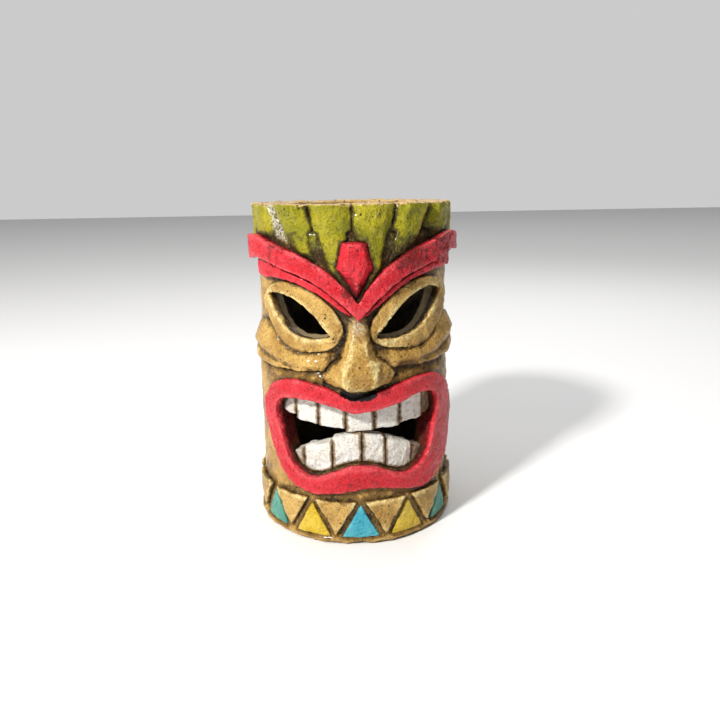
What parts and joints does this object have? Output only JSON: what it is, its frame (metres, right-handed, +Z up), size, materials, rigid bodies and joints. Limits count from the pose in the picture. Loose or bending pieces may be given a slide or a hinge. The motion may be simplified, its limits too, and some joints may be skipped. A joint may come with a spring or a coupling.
{
  "type": "tiki candle lantern",
  "caption": "Hollow cast tiki head in mug form with carved, painted face, through-cut eyes and mouth, and a loose tea light inside.",
  "frame": {"origin": "centre of the flat base, on the casting's axis", "axes": "+Z up along the casting's axis, the face looks along -Y, +X to the viewer's right"},
  "size_m": [0.1056, 0.1106, 0.165],
  "materials": {
    "tan_stone": "tan paint rubbed over cast stone, brown in the grooves, pitted",
    "red_paint": "coral red semi-gloss hand paint on cast stone, pitted",
    "green_paint": "lime olive hand paint on cast stone, brown in the grooves",
    "white_paint": "off-white hand paint on cast stone, brown between the teeth",
    "blue_paint": "bright blue hand paint on cast stone",
    "teal_paint": "teal hand paint on cast stone",
    "yellow_paint": "yellow hand paint on cast stone",
    "cup_aluminium": "thin pressed foil",
    "candle_wax": "white paraffin wax, slightly waxy sheen",
    "wick_cotton": "waxed braided cotton, charred tip",
    "clip_steel": "thin tinned steel"
  },
  "bodies": {
    "lantern": {"body_shell": "tan_stone", "brow_band": "red_paint", "brow_under_left": "red_paint", "brow_under_right": "red_paint", "forehead_gem": "red_paint", "eye_rim_left": "tan_stone", "eye_rim_right": "tan_stone", "cheek_left": "tan_stone", "cheek_right": "tan_stone", "nose": "tan_stone", "lips": "red_paint", "base_facets": "tan_stone", "crown_leaf_01": "green_paint", "crown_leaf_02": "green_paint", "crown_leaf_03": "green_paint", "crown_leaf_04": "green_paint", "crown_leaf_05": "green_paint", "crown_leaf_06": "green_paint", "crown_leaf_07": "green_paint", "crown_leaf_08": "green_paint", "crown_leaf_09": "green_paint", "crown_leaf_10": "green_paint", "crown_leaf_11": "green_paint", "crown_leaf_12": "green_paint", "crown_leaf_13": "green_paint", "crown_leaf_14": "green_paint", "upper_tooth_1": "white_paint", "upper_tooth_2": "white_paint", "upper_tooth_3": "white_paint", "upper_tooth_4": "white_paint", "upper_tooth_5": "white_paint", "upper_tooth_6": "white_paint", "upper_tooth_7": "white_paint", "lower_tooth_1": "white_paint", "lower_tooth_2": "white_paint", "lower_tooth_3": "white_paint", "lower_tooth_4": "white_paint", "lower_tooth_5": "white_paint", "lower_tooth_6": "white_paint", "base_triangle_01": "blue_paint", "base_triangle_02": "yellow_paint", "base_triangle_03": "teal_paint", "base_triangle_04": "yellow_paint", "base_triangle_05": "teal_paint", "base_triangle_06": "yellow_paint", "base_triangle_07": "teal_paint", "base_triangle_08": "yellow_paint", "base_triangle_09": "teal_paint", "base_triangle_10": "yellow_paint", "base_triangle_11": "teal_paint", "base_triangle_12": "yellow_paint"},
    "tea_light": {"tea_light_cup": "cup_aluminium", "tea_light_wax": "candle_wax", "tea_light_wick": "wick_cotton", "tea_light_wick_clip": "clip_steel"}
  },
  "joints": [
    {"name": "tea_light_lift", "type": "slide", "parent": "lantern", "child": "tea_light", "axis": [0, 0, 1], "range_m": [0, 0.175]}
  ]
}
